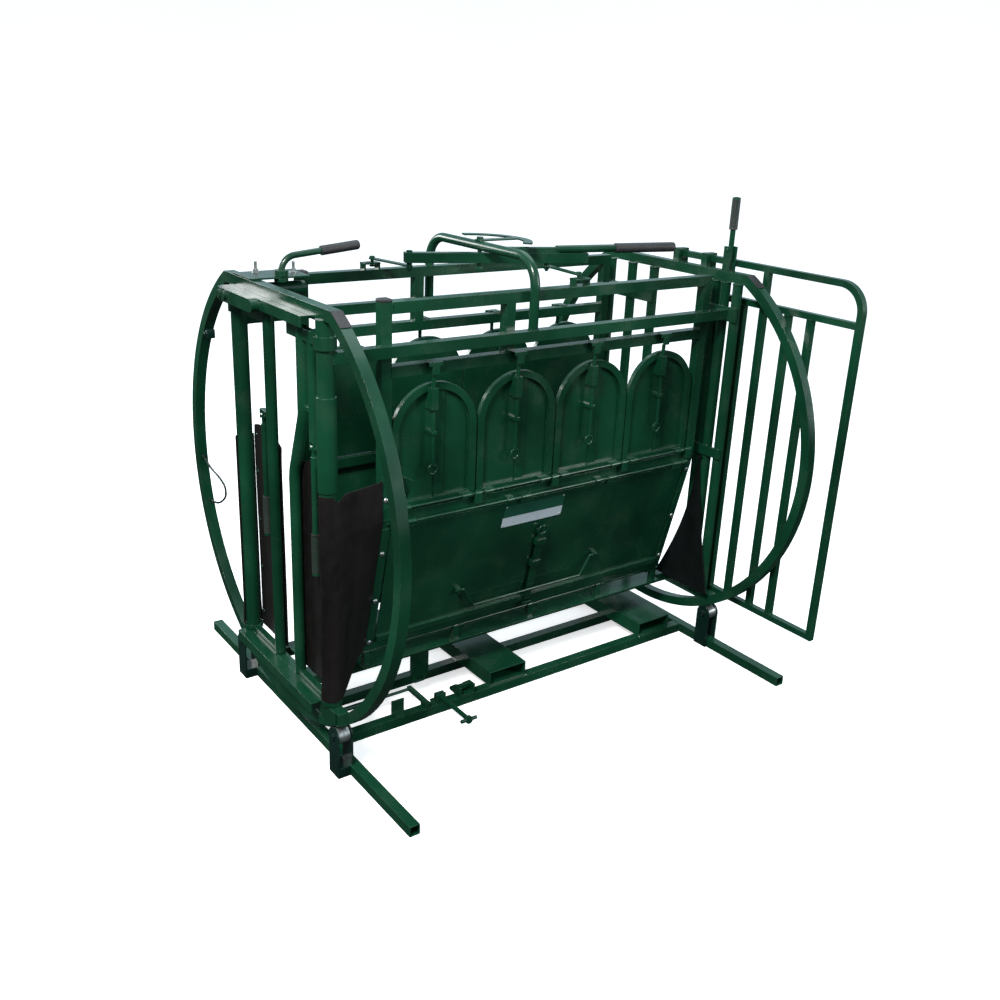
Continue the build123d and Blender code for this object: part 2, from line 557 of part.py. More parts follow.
# ---- head gate ------------------------------------------------------------------------------------
head_posts = []
for sign in (-1, 1):
    post = pipe((FRONT_X, sign * POST_Y, SILL_TOP), (FRONT_X, sign * POST_Y, CHORD_TOP - TUBE), POST_R, 3.5)
    head_posts.append(post)
sleeve = rod((FRONT_X, -POST_Y, 1020), (FRONT_X, -POST_Y, 1330), POST_R + 4)
sleeve -= rod((FRONT_X, -POST_Y, 1000), (FRONT_X, -POST_Y, 1400), POST_R)
save("head_posts", *head_posts, sleeve)

cover_z = CHORD_TOP - TUBE
cover = block(FRONT_X - 48, FRONT_X + 60, -262, 292, cover_z - 6, cover_z)
cover += block(FRONT_X - 48, FRONT_X - 42, -262, 60, cover_z - 36, cover_z - 6)
cover += block(FRONT_X + 54, FRONT_X + 60, -262, 292, cover_z - 40, cover_z - 6)

case = rod((FRONT_X - 48, 312, cover_z - 45), (FRONT_X - 48, 312, cover_z), 28)
case += block(FRONT_X - 76, FRONT_X - 19.1, 60, 312, cover_z - 45, cover_z)
case += rod((FRONT_X - 76, 60, cover_z - 23), (FRONT_X - 48, 60, cover_z - 23), 22)
case -= block(FRONT_X - 48, FRONT_X, -300, 292, cover_z - 60, cover_z + 1)
case -= rod((FRONT_X, POST_Y, 1400), (FRONT_X, POST_Y, 1700), POST_R)
case &= block(-2000, 2000, -2000, 2000, 0, cover_z)
for y in (300, 262):
    case += rod((FRONT_X - 84, y, cover_z - 22), (FRONT_X - 74, y, cover_z - 22), 15)
tube = pipe((FRONT_X + 19, 225, 1566), (SIDE_X[0] - 5, 225, 1566), 24, 3)
top_plate = block(FRONT_X - 19, SIDE_X[0] - 5, 170, 320, CHORD_TOP, CHORD_TOP + 6)
HUB_X, HUB_Y = -812.0, 190.0
top_plate -= rod((HUB_X, HUB_Y, 1590), (HUB_X, HUB_Y, 1640), 14 + PIN_FIT)
tube &= block(-2000, 2000, -2000, 2000, 0, CHORD_TOP)
save("head_cam_case", cover, case, top_plate, tube)

LEVER_BEND = Vector(HUB_X + 6, HUB_Y, CHORD_TOP + 69)
LEVER_RUN = Vector(246, -3, 26)
head_lever = swept([(HUB_X, HUB_Y, CHORD_TOP + 10), tuple(LEVER_BEND), tuple(LEVER_BEND + LEVER_RUN)], 58, 11)
head_lever += rod((HUB_X, HUB_Y, CHORD_TOP - 12), (HUB_X, HUB_Y, CHORD_TOP + 12), 14)
head_lever += rod((HUB_X, HUB_Y, CHORD_TOP + 6.4), (HUB_X, HUB_Y, CHORD_TOP + 26), 24)
head_lever += rod((HUB_X, HUB_Y, CHORD_TOP - 12), (HUB_X, HUB_Y, CHORD_TOP - 0.4), 24)
save("head_lever", head_lever)
hand_start = LEVER_BEND + LEVER_RUN * 0.585
hand_end = hand_start + LEVER_RUN.normalized() * 150
grip = rod(tuple(hand_start), tuple(hand_end), 17)
save("head_lever_grip", grip - head_lever)


NECK_PIVOT = {"near": (FRONT_X, -236.0, 1138.0), "far": (FRONT_X - 6, 137.0, 1150.0)}


def head_door(side):
    """Door drawn on the near side: collars on the post, arms, neck pipes and the lever's clevis."""
    y = -POST_Y
    spans = ((SILL_TOP + 2, SILL_TOP + 18), (cover_z - 91, cover_z - 50))
    door = Part()
    for z0, z1 in spans:
        arm = rod((FRONT_X, y, z0), (FRONT_X, y, z1), POST_R + 8)
        arm += block(FRONT_X - 12, FRONT_X + 12, y + 20, -82, z0 + 1, z1 - 1)
        door += arm - rod((FRONT_X, y, z0 - 1), (FRONT_X, y, z1 + 1), POST_R + PIN_FIT)
    top, low = cover_z - 50, SILL_TOP + 5
    if side == "near":
        door += swept([(FRONT_X, -173, top), (FRONT_X, -173, 1240), (FRONT_X, -88, 1010),
                       (FRONT_X, -88, low)], 160, DOOR_R)
        door += rod((FRONT_X, -236, 1158), (FRONT_X, -236, top), 14)
        door += block(FRONT_X - 8, FRONT_X + 8, -236, -165, 1252, 1268)
    else:
        door += rod((FRONT_X, -82, low), (FRONT_X, -82, top), DOOR_R)
        px, py, pz = NECK_PIVOT["far"]
        door += block(px - 9, px + 9, -py, -82, pz + 14, pz + 24)
    px, py, pz = NECK_PIVOT[side]
    py = -abs(py)
    for inner in (-14, 8):
        door += block(px - 9, px + 9, py + inner, py + inner + 6, pz - 9, pz + 24)
    door += block(px - 9, px + 9, py - 14, py + 14, pz + 15, pz + 24)
    return door + rod((px, py - 17, pz), (px, py + 17, pz), 5)


save("head_door_near", head_door("near"))
save("head_door_far", other_side(head_door("far")))
for side in ("near", "far"):
    bar = rod((0, 0, -8), (0, 0, -300), 7.5) + rod((0, 0, -30), (0, 0, -300), 10.5)
    bar += rod((0, -7.5, 0), (0, 7.5, 0), 11)
    bar -= rod((0, -9, 0), (0, 9, 0), 5 + PIN_FIT)
    hand = rod((0, 0, -300), (0, 0, -448), 15)
    place = Pos(*NECK_PIVOT[side])
    save(f"neck_lever_{side}", place * bar, place * hand)

# ---- rubber belting -------------------------------------------------------------------------------
back = FRONT_X + DOOR_R
save("door_belt_near", block(back, back + 6, -290, -58, SILL_TOP + 24, 1085))
save("door_belt_far", block(back, back + 6, 66, 290, SILL_TOP + 24, 1085))


def post_wrap(top):
    """Rubber sleeve on the near post, open where the door's arm swings."""
    sleeve = rod((FRONT_X, -POST_Y, SILL_TOP + 22), (FRONT_X, -POST_Y, top), POST_R + 5.5)
    sleeve -= rod((FRONT_X, -POST_Y, 0), (FRONT_X, -POST_Y, top + 1), POST_R)
    slot = [(FRONT_X + 14, -POST_Y), (FRONT_X + 80, -POST_Y + 90), (FRONT_X - 100, -POST_Y + 90),
            (FRONT_X - 100, -POST_Y + 10), (FRONT_X - 14, -POST_Y)]
    return sleeve - profile_z(slot, 200, 1300)


flap = profile_x([(-112, SILL_TOP + 10), (-297, 853), (-419, SILL_TOP + 10)], TAIL_X - 31, TAIL_X - 26)
save("crate_rubber", post_wrap(1008), other_side(post_wrap(1030)), flap)

belt_x = (FRONT_X + 38, SIDE_X[0])
bridge = profile_x(lean_strip(HALF, HALF + 5, 0, LEAN_LEN - 6), *belt_x)
bridge += block(*belt_x, -SIDE_Y - HALF - 5, -SIDE_Y - HALF, SIDE_KNEE_Z - 14, 985)
save("side_belting", bridge)

# ---- tail posts, gate guides, gate and lever ------------------------------------------------------
tail = [pipe((TAIL_X, y, SILL_TOP), (TAIL_X, y, CHORD_TOP - TUBE), 20) for y in TAIL_POSTS]
solid_posts = [rod((TAIL_X, y, SILL_TOP), (TAIL_X, y, CHORD_TOP - TUBE), 20) for y in TAIL_POSTS]
tail_plates = []
for y0, y1 in ((-395, -235), (80, 395)):
    for z0, z1 in ((SILL_TOP + 6, 290), (860, 900), (1425, 1480)):
        plate = block(TAIL_X - 26, TAIL_X - 14, y0, y1, z0, z1)
        for post in solid_posts:
            plate -= post
        tail_plates.append(plate)
save("tail_frame", *tail, *tail_plates)

eye_holes = block(GATE_X - 13, GATE_X + 13, -400, 200, 1500, GATE_TOP_Z + 13)
guides = []
for y in (-150, 10):
    guides.append(block(REAR_X + HALF, GATE_X + 21, y, y + 32, 1588, GATE_TOP_Z + 21) - eye_holes)
shoe = block(REAR_X + HALF, GATE_X + 20, -300, -100, GATE_FOOT_Z - 24, GATE_FOOT_Z - 16)
shoe += block(GATE_X - 20, GATE_X - 14, -300, -100, GATE_FOOT_Z - 16, GATE_FOOT_Z)
shoe += block(GATE_X + 14, GATE_X + 20, -300, -100, GATE_FOOT_Z - 16, GATE_FOOT_Z)
guides.append(shoe)
TAIL_LEVER = (876.0, -288.0, 1690.0)
lx, ly, lz = TAIL_LEVER
ears = block(lx - 20, lx - 13, ly - 18, ly + 18, CHORD_TOP, lz + 14)
ears += block(lx + 11, lx + 18, ly - 18, ly + 18, CHORD_TOP, lz + 14)
ears += rod((lx - 24, ly, lz), (lx + 22, ly, lz), 6)
guides.append(ears)
save("gate_guides", *guides)

gate_half = GATE_TUBE / 2
outline = FilletPolyline((GATE_X, 58, GATE_TOP_Z), (GATE_X, GATE_OUTER_Y, GATE_TOP_Z),
                         (GATE_X, GATE_OUTER_Y, GATE_FOOT_Z - gate_half), radius=100)
start = Plane(origin=(GATE_X, 58, GATE_TOP_Z), z_dir=(0, -1, 0), x_dir=(1, 0, 0))
section = start * (Rectangle(GATE_TUBE, GATE_TUBE) - Rectangle(GATE_TUBE - 4, GATE_TUBE - 4))
gate = sweep(section, path=outline)
inner_end = GATE_BARS[0] + gate_half
for z in (GATE_RAIL_Z, GATE_FOOT_Z):
    gate += square_tube("y", GATE_OUTER_Y + gate_half, inner_end, GATE_X, z, GATE_TUBE, 2)
for y in GATE_BARS:
    gate += square_tube("z", GATE_FOOT_Z + gate_half, GATE_RAIL_Z - gate_half, GATE_X, y, GATE_TUBE, 2)
for y in (GATE_BARS[0], GATE_BARS[2]):
    gate += square_tube("z", GATE_RAIL_Z + gate_half, GATE_TOP_Z - gate_half, GATE_X, y, GATE_TUBE, 2)
save("tail_gate", gate)

stick = rod((lx - 1, ly, lz - 14), (lx - 1, ly, 1770), 10.5)
stick += block(lx - 10, lx + 8, ly - 8, ly + 8, lz - 44, lz)
stick -= rod((lx - 30, ly, lz), (lx + 30, ly, lz), 6 + PIN_FIT)
save("tail_lever", stick, rod((lx - 1, ly, 1770), (lx - 1, ly, 1889), 16))

# ---- bolts on the head gate's plate ---------------------------------------------------------------
bolts = []
for x, y in ((-862, 286), (-738, 250)):
    stud = rod((x, y, CHORD_TOP + 6), (x, y, CHORD_TOP + 44), 5)
    stud += rod((x, y, CHORD_TOP + 6), (x, y, CHORD_TOP + 9), 13)
    bolts.append(stud + hex_head((x, y, CHORD_TOP + 9), (0, 0, 1), 17, 9))
save("head_bolts", *bolts)
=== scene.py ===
"""Looks for the roll-over squeeze crate: materials, belting, grips, fasteners and weld beads.

Points and sizes of the pieces are in millimetres, and turn into metres where the meshes are made.
The near side is at negative y and the head end at negative x.
"""

import json
import math
import random

import bmesh
import bpy
from mathutils import Matrix, Vector


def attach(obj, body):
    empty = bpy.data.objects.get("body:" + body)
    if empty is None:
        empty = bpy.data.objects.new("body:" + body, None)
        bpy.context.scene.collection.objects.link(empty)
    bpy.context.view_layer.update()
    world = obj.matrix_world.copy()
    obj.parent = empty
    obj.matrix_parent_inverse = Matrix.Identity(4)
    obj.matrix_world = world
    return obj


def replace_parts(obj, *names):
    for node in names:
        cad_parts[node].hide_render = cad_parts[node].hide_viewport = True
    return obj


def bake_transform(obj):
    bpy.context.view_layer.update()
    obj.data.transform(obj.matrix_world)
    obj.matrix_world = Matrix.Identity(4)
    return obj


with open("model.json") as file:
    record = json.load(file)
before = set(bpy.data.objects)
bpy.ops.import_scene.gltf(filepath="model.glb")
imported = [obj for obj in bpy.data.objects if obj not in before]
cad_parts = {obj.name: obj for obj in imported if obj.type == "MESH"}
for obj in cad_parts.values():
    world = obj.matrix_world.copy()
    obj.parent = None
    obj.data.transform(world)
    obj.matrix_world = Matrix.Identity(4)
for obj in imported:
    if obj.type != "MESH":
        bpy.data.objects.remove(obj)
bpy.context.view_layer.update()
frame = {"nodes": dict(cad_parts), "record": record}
nodes = frame["nodes"]
MM = 0.001
SIDES = (("near", -1), ("far", 1))      # each side's name and the sign of its y

# ---- places that the CAD shares -----------------------------------------------------------------
FRONT_X, POST_Y, POST_R = -912.0, 330.0, 28.5       # the head posts
BELT_FOOT = 266                                     # height of the post belting's lower edge
KNEE, FOOT = (-296.0, 870.0), (-165.0, 334.0)       # (y, z) ends of the near side's leaning part
LEAN_LEN = math.hypot(FOOT[0] - KNEE[0], FOOT[1] - KNEE[1])
RUN = ((FOOT[0] - KNEE[0]) / LEAN_LEN, (FOOT[1] - KNEE[1]) / LEAN_LEN)
OUT = (RUN[1], -RUN[0])
HALF_TUBE = 19                                      # half of the 38 mm square tube


def on_lean(x, distance, offset):
    """Point on the near side's leaning part: distance down from the knee, offset outward."""
    return Vector((x, KNEE[0] + RUN[0] * distance + OUT[0] * offset,
                   KNEE[1] + RUN[1] * distance + OUT[1] * offset))


# ---- materials ----------------------------------------------------------------------------------
def shade(tone, factor, lift=0.0):
    """A colour made lighter or darker."""
    return tuple(c * factor + lift for c in tone)


class Shader:
    """A material under construction: adds nodes and links them by short calls."""

    SOCKETS = {"color": "Base Color", "rough": "Roughness", "metal": "Metallic", "normal": "Normal",
               "coat": "Coat Weight", "coat_rough": "Coat Roughness",
               "specular": "Specular IOR Level"}

    def __init__(self, name):
        self.material = bpy.data.materials.new(name)
        self.material.use_nodes = True
        self.tree = self.material.node_tree
        self.bsdf = self.tree.nodes["Principled BSDF"]
        self.coords = self.add("ShaderNodeTexCoord").outputs["Object"]

    def add(self, kind, **values):
        node = self.tree.nodes.new(kind)
        for key, value in values.items():
            setattr(node, key, value)
        return node

    def feed(self, socket, value):
        """Link another node's output, or set a number or a colour."""
        if hasattr(value, "is_linked"):
            self.tree.links.new(value, socket)
        elif isinstance(value, tuple):
            socket.default_value = (*value, 1.0)
        else:
            socket.default_value = value

    def noise(self, scale, detail=4.0, stretch=(1, 1, 1)):
        mapping = self.add("ShaderNodeMapping")
        mapping.inputs["Scale"].default_value = stretch
        self.feed(mapping.inputs["Vector"], self.coords)
        node = self.add("ShaderNodeTexNoise")
        self.feed(node.inputs["Scale"], scale)
        self.feed(node.inputs["Detail"], detail)
        self.feed(node.inputs["Roughness"], 0.55)
        self.feed(node.inputs["Vector"], mapping.outputs["Vector"])
        return node.outputs["Fac"]

    def ramp(self, value, low, high, a=0.0, b=1.0):
        """Map low..high to a..b, clamped."""
        node = self.add("ShaderNodeMapRange", clamp=True)
        self.feed(node.inputs["Value"], value)
        self.feed(node.inputs["From Min"], low)
        self.feed(node.inputs["From Max"], high)
        self.feed(node.inputs["To Min"], a)
        self.feed(node.inputs["To Max"], b)
        return node.outputs["Result"]

    def reckon(self, operation, a, b):
        node = self.add("ShaderNodeMath", operation=operation)
        self.feed(node.inputs[0], a)
        self.feed(node.inputs[1], b)
        return node.outputs[0]

    def mix(self, factor, a, b):
        node = self.add("ShaderNodeMix", data_type="RGBA")
        self.feed(node.inputs[0], factor)
        self.feed(node.inputs[6], a)        # colour A of the RGBA mix
        self.feed(node.inputs[7], b)        # colour B
        return node.outputs[2]

    def bevel_normal(self, radius):
        node = self.add("ShaderNodeBevel", samples=4)
        self.feed(node.inputs["Radius"], radius)
        return node.outputs["Normal"]

    def edge(self, normal):
        """0 on flat faces, 1 on edges, from how far the rounded normal leans off the true one."""
        dot = self.add("ShaderNodeVectorMath", operation="DOT_PRODUCT")
        self.feed(dot.inputs[0], normal)
        self.feed(dot.inputs[1], self.add("ShaderNodeNewGeometry").outputs["True Normal"])
        return self.ramp(self.reckon("SUBTRACT", 1.0, dot.outputs["Value"]), 0.02, 0.25)

    def bump(self, height, strength, distance, normal=None):
        node = self.add("ShaderNodeBump")
        self.feed(node.inputs["Strength"], strength)
        self.feed(node.inputs["Distance"], distance)
        self.feed(node.inputs["Height"], height)
        if normal is not None:
            self.feed(node.inputs["Normal"], normal)
        return node.outputs["Normal"]

    def set(self, **values):
        for key, value in values.items():
            self.feed(self.bsdf.inputs[self.SOCKETS[key]], value)
        return self.material


def paint(name, tone):
    """Gloss enamel over steel: slight orange peel, faint dust, rubbed edges."""
    dust_tone, worn_tone = (0.10, 0.11, 0.085), (0.11, 0.17, 0.15)
    s = Shader(name)
    normal = s.bevel_normal(0.0022)
    edge = s.edge(normal)
    broad = s.noise(2.3, 3.0)
    cloud = s.noise(9.0, 6.0)
    streak = s.noise(7.0, 5.0, (1.0, 1.0, 0.08))
    body = s.mix(s.ramp(broad, 0.32, 0.68), shade(tone, 0.62), shade(tone, 1.45))
    body = s.mix(s.ramp(streak, 0.55, 0.8, 0.0, 0.35), body, shade(tone, 1.9, 0.004))
    body = s.mix(s.reckon("MULTIPLY", s.ramp(cloud, 0.52, 0.78), 0.10), body, dust_tone)
    worn = s.reckon("MULTIPLY", edge, s.ramp(s.noise(38.0, 5.0), 0.44, 0.66))
    body = s.mix(s.reckon("MULTIPLY", worn, 0.55), body, worn_tone)
    rough = s.ramp(cloud, 0.3, 0.75, 0.16, 0.34)
    peel = s.bump(s.noise(420.0, 2.0), 0.06, 0.0006, normal)
    peel = s.bump(s.noise(26.0, 2.0), 0.05, 0.002, peel)
    return s.set(color=body, rough=rough, normal=peel, coat=0.12, coat_rough=0.06, specular=0.42)


def rubber(name, tone):
    """Old conveyor belting: brown-black, streaked along its length, speckled with dust."""
    speck_tone = (0.040, 0.032, 0.028)
    s = Shader(name)
    streak = s.noise(14.0, 6.0, (1.0, 1.0, 0.15))
    speck = s.noise(160.0, 4.0)
    body = s.mix(s.ramp(streak, 0.35, 0.7), shade(tone, 0.6), shade(tone, 1.5))
    body = s.mix(s.ramp(speck, 0.62, 0.8, 0.0, 0.4), body, speck_tone)
    rough = s.ramp(s.noise(22.0, 4.0), 0.3, 0.7, 0.42, 0.62)
    normal = s.bump(s.noise(300.0, 3.0), 0.25, 0.0007)
    normal = s.bump(streak, 0.25, 0.004, normal)
    return s.set(color=body, rough=rough, normal=normal, specular=0.25)


def zinc(name):
    """Plated steel with a faint spangle and brownish stains."""
    tone, stain_tone = (0.60, 0.61, 0.60), (0.20, 0.15, 0.10)
    s = Shader(name)
    normal = s.bevel_normal(0.001)
    spangle = s.noise(85.0, 5.0)
    body = s.mix(s.ramp(spangle, 0.35, 0.7), shade(tone, 0.65), tone)
    body = s.mix(s.ramp(s.noise(24.0, 4.0), 0.58, 0.75, 0.0, 0.6), body, stain_tone)
    rough = s.ramp(spangle, 0.3, 0.7, 0.24, 0.46)
    return s.set(color=body, rough=rough, metal=0.92, normal=s.bump(spangle, 0.08, 0.0008, normal))


def grip_plastic(name):
    """Black moulded plastic with pale specks."""
    dark, light, speck_tone = (0.014, 0.013, 0.014), (0.036, 0.034, 0.035), (0.085, 0.08, 0.082)
    s = Shader(name)
    speck = s.noise(130.0, 5.0)
    body = s.mix(s.ramp(s.noise(12.0, 4.0), 0.35, 0.7), dark, light)
    body = s.mix(s.ramp(speck, 0.6, 0.8, 0.0, 0.5), body, speck_tone)
    return s.set(color=body, rough=s.ramp(speck, 0.3, 0.7, 0.45, 0.62),
                 normal=s.bump(speck, 0.2, 0.0006))


def plate_paint(name, tone, rough):
    """Printed plate, slightly scuffed."""
    s = Shader(name)
    scuff = s.noise(60.0, 5.0)
    body = s.mix(s.ramp(scuff, 0.55, 0.8, 0.0, 0.5), tone, shade(tone, 0.6))
    return s.set(color=body, rough=s.ramp(scuff, 0.3, 0.7, rough, rough + 0.15),
                 normal=s.bump(scuff, 0.05, 0.0005))


def dress(piece, material):
    piece.data.materials.clear()
    piece.data.materials.append(material)


green = paint("green_enamel", (0.0042, 0.042, 0.0195))
green_dark = paint("green_enamel_shaded", (0.003, 0.016, 0.012))
belting = rubber("rubber_belting", (0.0078, 0.0058, 0.0056))
flap_rubber = rubber("rubber_flap", (0.0035, 0.005, 0.005))
zinc_plain = zinc("zinc_plate")
grip_black = grip_plastic("grip_plastic")
plate_green = plate_paint("plate_green", (0.010, 0.075, 0.045), 0.3)
plate_pale = plate_paint("plate_pale", (0.50, 0.55, 0.60), 0.35)

SLOT_MATERIAL = {"green_paint": green, "dark_paint": green_dark, "zinc": zinc_plain,
                 "black_rubber": belting, "black_plastic": grip_black}
for row in frame["record"]["subparts"]:
    dress(nodes[row["node"]], SLOT_MATERIAL[row["material_slot"]])

# ---- floor, light and camera --------------------------------------------------------------------
FLOOR_RADIUS, BOWL_RADIUS, WALL_TOP, FLOOR_SIDES = 9.0, 5.0, 16.0, 64
FLOOR_GLOW = 0.62
HORIZON = (0.47, 0.5)       # where the glow changes, from 0 straight down to 1 straight up
GROUND_GLOW = (0.030, 0.036, 0.034)
SKY_GLOW = (0.40, 0.53, 0.60)
AIM = (0, 0, 0.8)           # the middle of the crate
SOFTBOXES = (               # name, place, size, watts, colour
    ("key", (-4.2, -2.6, 5.5), (1.3, 1.3), 470, (1.0, 0.985, 0.95)),
    ("top", (1.5, 1.0, 5.5), (4.0, 4.0), 90, (0.85, 0.94, 1.0)),
    ("side", (4.0, -5.0, 3.0), (1.5, 2.5), 150, (1, 1, 1)),
    ("back", (-3.0, 5.5, 3.0), (2.0, 2.0), 170, (1, 1, 1)),
)
CAMERA_PLACE = (-2.3365, -3.1751, 2.2089)
CAMERA_RIGHT = (0.81208, -0.58214, 0.04050)
CAMERA_DOWN = (-0.17666, -0.31139, -0.93372)
CAMERA_AHEAD = (0.55617, 0.75110, -0.35572)


def bowl():
    """A flat round floor that curves up into a wall, which only the camera sees."""
    profile = [(FLOOR_RADIUS, 0.0)]
    for k in range(1, 11):
        a = math.radians(9 * k)
        profile.append((FLOOR_RADIUS + BOWL_RADIUS * math.sin(a),
                        BOWL_RADIUS - BOWL_RADIUS * math.cos(a)))
    profile.append((FLOOR_RADIUS + BOWL_RADIUS, WALL_TOP))
    n = FLOOR_SIDES
    verts = [(out * math.cos(2 * math.pi * k / n), out * math.sin(2 * math.pi * k / n), up)
             for out, up in profile for k in range(n)]
    faces = [(i * n + k, i * n + (k + 1) % n, (i + 1) * n + (k + 1) % n, (i + 1) * n + k)
             for i in range(len(profile) - 1) for k in range(n)]
    faces.append(tuple(range(n))[::-1])
    mesh = bpy.data.meshes.new("studio_floor")
    mesh.from_pydata(verts, [], faces)
    for polygon in mesh.polygons:
        polygon.use_smooth = True
    floor = bpy.data.objects.new("studio_floor", mesh)
    bpy.context.scene.collection.objects.link(floor)
    s = Shader("studio_floor")
    tint = s.mix(s.ramp(s.noise(0.4, 2.0), 0.3, 0.7), (0.86, 0.865, 0.87), (0.90, 0.90, 0.905))
    s.bsdf.inputs["Emission Color"].default_value = (1, 1, 1, 1)
    s.bsdf.inputs["Emission Strength"].default_value = FLOOR_GLOW
    dress(floor, s.set(color=tint, rough=0.9, specular=0.1))
    floor.visible_glossy = False
    floor.visible_diffuse = False
    floor.visible_shadow = False


def sky():
    """Soft daylight from above the horizon and a dim glow from below it."""
    world = bpy.data.worlds.new("studio")
    bpy.context.scene.world = world
    world.use_nodes = True
    tree = world.node_tree
    coords = tree.nodes.new("ShaderNodeTexCoord")
    split = tree.nodes.new("ShaderNodeSeparateXYZ")
    tree.links.new(coords.outputs["Generated"], split.inputs[0])
    lift = tree.nodes.new("ShaderNodeMapRange")
    tree.links.new(split.outputs["Z"], lift.inputs["Value"])
    lift.inputs["From Min"].default_value = -1.0
    ramp = tree.nodes.new("ShaderNodeValToRGB")
    low, high = ramp.color_ramp.elements
    low.position, high.position = HORIZON
    low.color, high.color = (*GROUND_GLOW, 1), (*SKY_GLOW, 1)
    tree.links.new(lift.outputs["Result"], ramp.inputs["Fac"])
    background = tree.nodes["Background"]
    tree.links.new(ramp.outputs["Color"], background.inputs[0])
    background.inputs[1].default_value = 1.0


def softbox(name, place, size, power, color):
    """Area light aimed at the middle of the crate."""
    light = bpy.data.lights.new(name, "AREA")
    light.shape = "RECTANGLE"
    light.size, light.size_y = size
    light.energy = power
    light.color = color
    holder = bpy.data.objects.new(name, light)
    bpy.context.scene.collection.objects.link(holder)
    holder.location = place
    holder.rotation_euler = (Vector(AIM) - Vector(place)).to_track_quat("-Z", "Y").to_euler()


def camera():
    """Stands off the head gate's near corner, a little above the crate."""
    data = bpy.data.cameras.new("camera")
    data.sensor_width = 36.0
    data.lens = 37.94
    holder = bpy.data.objects.new("camera", data)
    bpy.context.scene.collection.objects.link(holder)
    axes = Matrix((Vector(CAMERA_RIGHT), -Vector(CAMERA_DOWN), -Vector(CAMERA_AHEAD)))
    holder.matrix_world = Matrix.Translation(CAMERA_PLACE) @ axes.transposed().to_4x4()
    bpy.context.scene.camera = holder


bowl()
sky()
for row in SOFTBOXES:
    softbox(*row)
camera()
bpy.context.scene.view_settings.view_transform = "Standard"


# ---- mesh helpers -------------------------------------------------------------------------------
def add_piece(name, verts, faces, body, material):
    """Smooth mesh from points in metres; it rides on a body, or on none."""
    mesh = bpy.data.meshes.new(name)
    mesh.from_pydata([tuple(v) for v in verts], [], faces)
    bm = bmesh.new()
    bm.from_mesh(mesh)
    bmesh.ops.remove_doubles(bm, verts=bm.verts, dist=1e-6)
    bmesh.ops.recalc_face_normals(bm, faces=bm.faces)
    bm.to_mesh(mesh)
    bm.free()
    for polygon in mesh.polygons:
        polygon.use_smooth = True
    piece = bpy.data.objects.new(name, mesh)
    bpy.context.scene.collection.objects.link(piece)
    mesh.materials.append(material)
    mark_sharp(mesh)
    if body:
        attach(piece, body)
    return piece


def mark_sharp(mesh, angle=35.0):
    """Keep the edges that turn by more than the angle crisp under smooth shading."""
    bm = bmesh.new()
    bm.from_mesh(mesh)
    for edge in bm.edges:
        if len(edge.link_faces) == 2 and edge.calc_face_angle(0.0) > math.radians(angle):
            edge.smooth = False
    bm.to_mesh(mesh)
    bm.free()


def circle(centre, side, other, radius, count, spin=0.0):
    """Ring of points about a centre, in the plane of two unit vectors."""
    return [centre + (side * math.cos(spin + 2 * math.pi * k / count)
                      + other * math.sin(spin + 2 * math.pi * k / count)) * radius
            for k in range(count)]


def heading(line, k):
    """Unit vector along a line of points at its point k."""
    ahead = line[min(k + 1, len(line) - 1)] - line[max(k - 1, 0)]
    return ahead.normalized()


